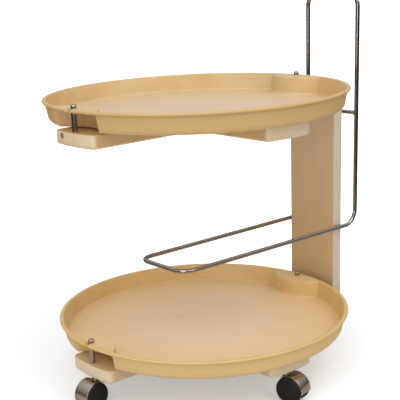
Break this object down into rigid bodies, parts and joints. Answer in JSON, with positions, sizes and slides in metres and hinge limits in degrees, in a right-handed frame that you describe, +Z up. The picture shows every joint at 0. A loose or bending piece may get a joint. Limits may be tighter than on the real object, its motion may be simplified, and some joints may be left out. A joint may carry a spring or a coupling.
{
  "type": "serving table on casters",
  "caption": "Two round lift-off trays on cross-shaped supports beside a column, with a bent rod as push handle and rack, on twin-wheel casters.",
  "frame": {"origin": "on the floor under the middle of the table's overall box", "axes": "+X from the trays to the column, +Z up"},
  "size_m": [0.632, 0.52, 0.651],
  "materials": {
    "tray_plastic": "satin moulded, mustard cream",
    "support_plastic": "satin moulded, warm off-white",
    "cover_plastic": "matt, warm off-white",
    "column_plastic": "satin, cream",
    "chrome_rod": "polished",
    "screw_steel": "zinc plated",
    "black_plastic": "matt",
    "brown_plug": "matt",
    "socket_steel": "plain",
    "caster_steel": "zinc plated",
    "chrome_hood": "polished",
    "wheel_black": "smooth"
  },
  "bodies": {
    "stand": {"base_cross": "support_plastic", "base_cover": "cover_plastic", "base_cover_screws": "screw_steel", "top_cross": "support_plastic", "top_cover": "cover_plastic", "top_cover_screws": "screw_steel", "column": "column_plastic", "column_back": "cover_plastic", "column_screws": "screw_steel", "back_screws": "screw_steel", "wire_frame": "chrome_rod", "bar_brackets": "black_plastic", "bracket_screws": "screw_steel", "rack_saddles": "chrome_rod", "saddle_screws": "screw_steel", "lower_pins": "chrome_rod", "upper_pins": "chrome_rod", "hole_plug": "brown_plug", "caster_sockets": "socket_steel", "left_stem": "caster_steel", "right_stem": "caster_steel", "front_stem": "caster_steel", "rear_stem": "caster_steel"},
    "lower_tray": {"lower_tray": "tray_plastic"},
    "upper_tray": {"upper_tray": "tray_plastic"},
    "left_swivel": {"left_housing": "chrome_hood", "left_axle": "caster_steel"},
    "left_near": {"left_wheel_near": "wheel_black"},
    "left_far": {"left_wheel_far": "wheel_black"},
    "right_swivel": {"right_housing": "chrome_hood", "right_axle": "caster_steel"},
    "right_near": {"right_wheel_near": "wheel_black"},
    "right_far": {"right_wheel_far": "wheel_black"},
    "front_swivel": {"front_housing": "chrome_hood", "front_axle": "caster_steel"},
    "front_near": {"front_wheel_near": "wheel_black"},
    "front_far": {"front_wheel_far": "wheel_black"},
    "rear_swivel": {"rear_housing": "chrome_hood", "rear_axle": "caster_steel"},
    "rear_near": {"rear_wheel_near": "wheel_black"},
    "rear_far": {"rear_wheel_far": "wheel_black"}
  },
  "joints": [
    {"name": "lower_tray_lift", "type": "slide", "parent": "stand", "child": "lower_tray", "axis": [0, 0, 1], "range_m": [0, 0.09]},
    {"name": "upper_tray_lift", "type": "slide", "parent": "stand", "child": "upper_tray", "axis": [0, 0, 1], "range_m": [0, 0.1]},
    {"name": "left_turn", "type": "hinge", "parent": "stand", "child": "left_swivel", "pos_m": [-0.27609, 0, 0.038], "axis": [0, 0, 1], "continuous": true},
    {"name": "left_spin_near", "type": "hinge", "parent": "left_swivel", "child": "left_near", "pos_m": [-0.28844, -0.00196, 0.0235], "axis": [-0.1564, 0.9877, 0], "continuous": true},
    {"name": "left_spin_far", "type": "hinge", "parent": "left_swivel", "child": "left_far", "pos_m": [-0.28844, -0.00196, 0.0235], "axis": [-0.1564, 0.9877, 0], "continuous": true},
    {"name": "right_turn", "type": "hinge", "parent": "stand", "child": "right_swivel", "pos_m": [0.20991, 0, 0.038], "axis": [0, 0, 1], "continuous": true},
    {"name": "right_spin_near", "type": "hinge", "parent": "right_swivel", "child": "right_near", "pos_m": [0.22222, -0.00217, 0.0235], "axis": [-0.1736, -0.9848, 0], "continuous": true},
    {"name": "right_spin_far", "type": "hinge", "parent": "right_swivel", "child": "right_far", "pos_m": [0.22222, -0.00217, 0.0235], "axis": [-0.1736, -0.9848, 0], "continuous": true},
    {"name": "front_turn", "type": "hinge", "parent": "stand", "child": "front_swivel", "pos_m": [-0.03309, -0.209, 0.038], "axis": [0, 0, 1], "continuous": true},
    {"name": "front_spin_near", "type": "hinge", "parent": "front_swivel", "child": "front_near", "pos_m": [-0.03007, -0.22113, 0.0235], "axis": [-0.9703, -0.2419, 0], "continuous": true},
    {"name": "front_spin_far", "type": "hinge", "parent": "front_swivel", "child": "front_far", "pos_m": [-0.03007, -0.22113, 0.0235], "axis": [-0.9703, -0.2419, 0], "continuous": true},
    {"name": "rear_turn", "type": "hinge", "parent": "stand", "child": "rear_swivel", "pos_m": [-0.03309, 0.209, 0.038], "axis": [0, 0, 1], "continuous": true},
    {"name": "rear_spin_near", "type": "hinge", "parent": "rear_swivel", "child": "rear_near", "pos_m": [-0.03418, 0.22145, 0.0235], "axis": [0.9962, 0.0872, 0], "continuous": true},
    {"name": "rear_spin_far", "type": "hinge", "parent": "rear_swivel", "child": "rear_far", "pos_m": [-0.03418, 0.22145, 0.0235], "axis": [0.9962, 0.0872, 0], "continuous": true}
  ]
}
